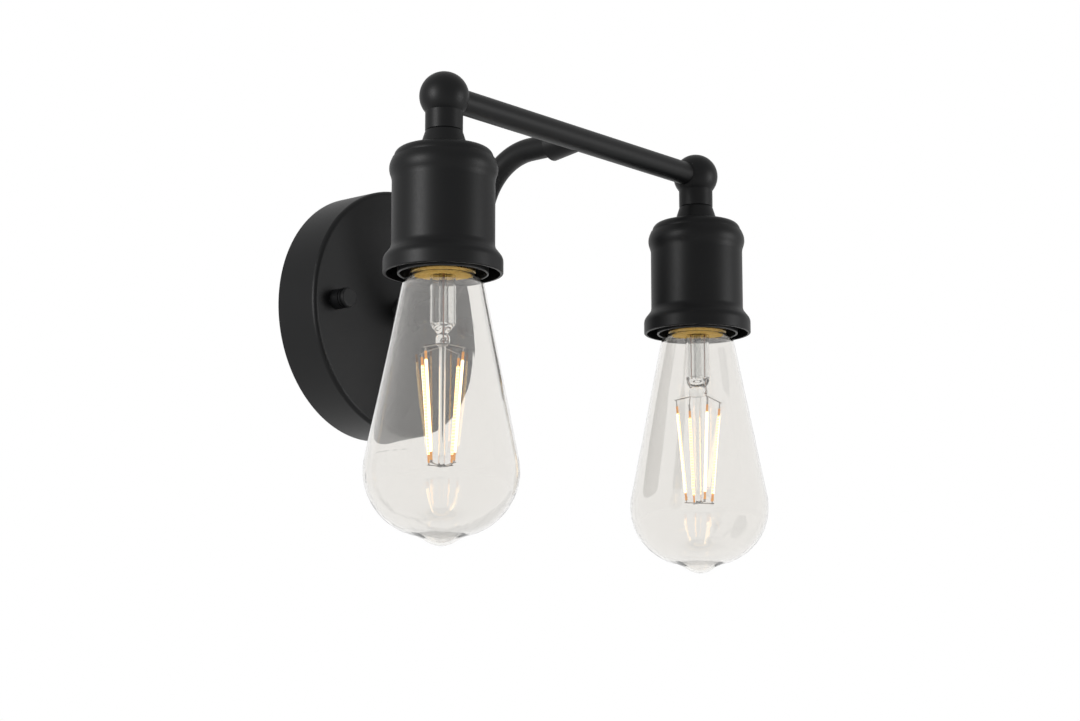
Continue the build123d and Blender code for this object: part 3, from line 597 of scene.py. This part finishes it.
# %% Inside of a bulb: sizes and helpers
BULB_TURN = {"left": radians(49), "right": radians(104)}
FILAMENTS = 4
TOP_RADIUS, LOW_RADIUS = 11.0 * MM, 6.4 * MM
SLEEVE_RADIUS = 0.65 * MM
AMBER_RADIUS = 0.55 * MM
AMBER_LENGTH = 3.4 * MM
TAB_LENGTH = {"left": 1.6 * MM, "right": 3.0 * MM}
LOW_TAB_LENGTH = 1.0 * MM
FOOT_DROP = {"left": 0.5 * MM, "right": 1.4 * MM}
TAB_WIDTH, TAB_THICKNESS = 0.8 * MM, 0.25 * MM
WIRE_RADIUS = 0.24 * MM
LEAD_SPREAD = 3.4 * MM
SLEEVE_SIDES = 16
SLEEVE_SOFTNESS, AMBER_SOFTNESS = 0.6 * SLEEVE_RADIUS, 0.4 * AMBER_RADIUS


def new_piece(name, bm, *finishes):
    """Turn a bmesh into an object that stands at the origin, with one or more finishes."""
    mesh = bpy.data.meshes.new(name)
    bm.to_mesh(mesh)
    bm.free()
    for finish in finishes:
        mesh.materials.append(finish)
    piece = bpy.data.objects.new(name, mesh)
    bpy.context.scene.collection.objects.link(piece)
    return piece


def onto(start, end):
    """The matrix that puts a piece standing about the origin on Z onto the line between two points."""
    middle = (start + end) / 2
    return Matrix.Translation(middle) @ (end - start).to_track_quat("Z", "Y").to_matrix().to_4x4()


def paint(faces, index):
    for face in faces:
        face.material_index = index
        face.smooth = True


def faces_of(verts):
    return {face for vert in verts for face in vert.link_faces}


def round_rod(bm, start, end, radius, index=0, sides=12, soft=0.0):
    """A round rod between two points, with softened ends where asked, and its faces."""
    made = bmesh.ops.create_cone(
        bm,
        cap_ends=True,
        segments=sides,
        radius1=radius,
        radius2=radius,
        depth=(end - start).length,
        matrix=onto(start, end),
    )["verts"]
    rod = faces_of(made)
    if soft:
        caps = [face for face in rod if len(face.verts) == sides]
        rims = {edge for cap in caps for edge in cap.edges}
        rounded = bmesh.ops.bevel(
            bm, geom=list(rims), offset=soft, segments=3, profile=0.5, affect="EDGES", material=-1
        )
        rod = faces_of(rounded["verts"])
    paint(rod, index)
    return rod


def flat_tab(bm, start, end, width, thickness, index):
    made = bmesh.ops.create_cube(bm, size=1.0)["verts"]
    bmesh.ops.scale(bm, verts=made, vec=(width, thickness, (end - start).length))
    bmesh.ops.transform(bm, verts=made, matrix=onto(start, end))
    for face in faces_of(made):
        face.material_index = index


def round_joint(bm, point, radius, index=0):
    made = bmesh.ops.create_uvsphere(bm, u_segments=10, v_segments=6, radius=radius)["verts"]
    bmesh.ops.translate(bm, verts=made, vec=point)
    paint(faces_of(made), index)


def filament_ends(index, top, low):
    """Top and bottom point of one filament's line."""
    angle = tau / FILAMENTS * (index + 0.5)
    way = Vector((cos(angle), sin(angle), 0))
    return way * TOP_RADIUS + Vector((0, 0, top)), way * LOW_RADIUS + Vector((0, 0, low))


def into_bulb(bm, side):
    """Turn and move a piece drawn about Z into one bulb. Heights are already in the shared frame."""
    low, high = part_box(f"{side}_bulb_glass")
    axis = (low + high) / 2
    spot = Matrix.Translation((axis.x, axis.y, 0)) @ Matrix.Rotation(BULB_TURN[side], 4, "Z")
    bmesh.ops.transform(bm, verts=bm.verts, matrix=spot)


print("helpers ready")

# %% Filaments
SLEEVE_FRONT, AMBER, TAB, SLEEVE_BACK = range(4)

for side in SIDES:
    low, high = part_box(f"{side}_bulb_filaments")
    bm = bmesh.new()
    for index in range(FILAMENTS):
        top, foot = filament_ends(index, high.z, low.z - FOOT_DROP[side])
        along = (foot - top).normalized()
        marks = [top]
        for step in (TAB_LENGTH[side], AMBER_LENGTH):
            marks.append(marks[-1] + along * step)
        lower = [foot]
        for step in (LOW_TAB_LENGTH, AMBER_LENGTH):
            lower.append(lower[-1] - along * step)
        sleeve = round_rod(
            bm, marks[2], lower[2], SLEEVE_RADIUS, SLEEVE_FRONT, SLEEVE_SIDES, SLEEVE_SOFTNESS
        )
        outward = (top - Vector((0, 0, top.z))).normalized()
        for face in sleeve:
            face.normal_update()
            if face.normal.dot(outward) < 0:
                face.material_index = SLEEVE_BACK
        for near, far in ((marks[1], marks[2]), (lower[1], lower[2])):
            round_rod(bm, near, far, AMBER_RADIUS, AMBER, soft=AMBER_SOFTNESS)
        for near, far in ((marks[0], marks[1]), (lower[0], lower[1])):
            flat_tab(bm, near, far, TAB_WIDTH, TAB_THICKNESS, TAB)
    into_bulb(bm, side)
    piece = new_piece(f"{side}_filament_set", bm, sleeve_front, amber_end, nickel, sleeve_back)
    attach(piece, f"{side}_bulb")
    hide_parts(f"{side}_bulb_filaments")
    print(piece.name, len(piece.data.polygons), "faces")

# %% Support wires
PRESS_ABOVE_FILAMENTS = 2.0 * MM
ROD_FOOT_RISE = 0.2 * MM
HOOK = 0.9 * MM
LEAD_EXIT_RISE, KNEE_RISE, KNEE_OUT = 2.0 * MM, 0.4 * MM, 0.6 * MM
COPPER = 1

for side in SIDES:
    low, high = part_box(f"{side}_bulb_filaments")
    stem_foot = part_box(f"{side}_bulb_stem")[0].z
    press_low = high.z + PRESS_ABOVE_FILAMENTS
    lead_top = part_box(f"{side}_bulb_supports")[1].z
    bm = bmesh.new()
    hub = Vector((0, 0, stem_foot + ROD_FOOT_RISE))
    for hand in (-1, 1):
        start = Vector((hand * LEAD_SPREAD, 0, press_low + LEAD_EXIT_RISE))
        knee = Vector((hand * (LEAD_SPREAD + KNEE_OUT), 0, press_low + KNEE_RISE))
        round_rod(bm, Vector((hand * LEAD_SPREAD, 0, lead_top)), start, WIRE_RADIUS, COPPER)
        round_joint(bm, start, WIRE_RADIUS, COPPER)
        round_rod(bm, start, knee, WIRE_RADIUS, COPPER)
        round_joint(bm, knee, WIRE_RADIUS)
        for index in range(FILAMENTS):
            top = filament_ends(index, high.z, low.z)[0]
            if top.x * hand > 0:
                past = top + (top - knee).normalized() * HOOK
                round_rod(bm, knee, past, WIRE_RADIUS)
    for index in range(FILAMENTS):
        foot = filament_ends(index, high.z, low.z - FOOT_DROP[side])[1]
        past = foot + (foot - hub).normalized() * HOOK
        round_rod(bm, hub, past, WIRE_RADIUS)
    into_bulb(bm, side)
    piece = new_piece(f"{side}_support_wires", bm, nickel, copper)
    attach(piece, f"{side}_bulb")
    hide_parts(f"{side}_bulb_supports")
    print(piece.name, len(piece.data.polygons), "faces")

# %% [markdown]
# ## The filling above the stem
#
# Seen from below, the open stem would show the dark inside of the base. The photograph shows no such dark
# spot, so a thin gilt plug closes it, with the leads embedded.

# %% Neck filling
FILLING_RADIUS = 5.2 * MM
FILLING_THICKNESS = 0.4 * MM
FILLING_GAP = 0.05 * MM
FILLING_SIDES = 48
FILLING_SOFTNESS = 0.3 * FILLING_THICKNESS

for side in SIDES:
    stem_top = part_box(f"{side}_bulb_stem")[1].z
    under = Vector((0, 0, stem_top + FILLING_GAP))
    over = under + Vector((0, 0, FILLING_THICKNESS))
    bm = bmesh.new()
    round_rod(bm, under, over, FILLING_RADIUS, sides=FILLING_SIDES, soft=FILLING_SOFTNESS)
    into_bulb(bm, side)
    piece = new_piece(f"{side}_neck_filling", bm, gilt)
    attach(piece, f"{side}_bulb")
    print(piece.name, len(piece.data.polygons), "faces")
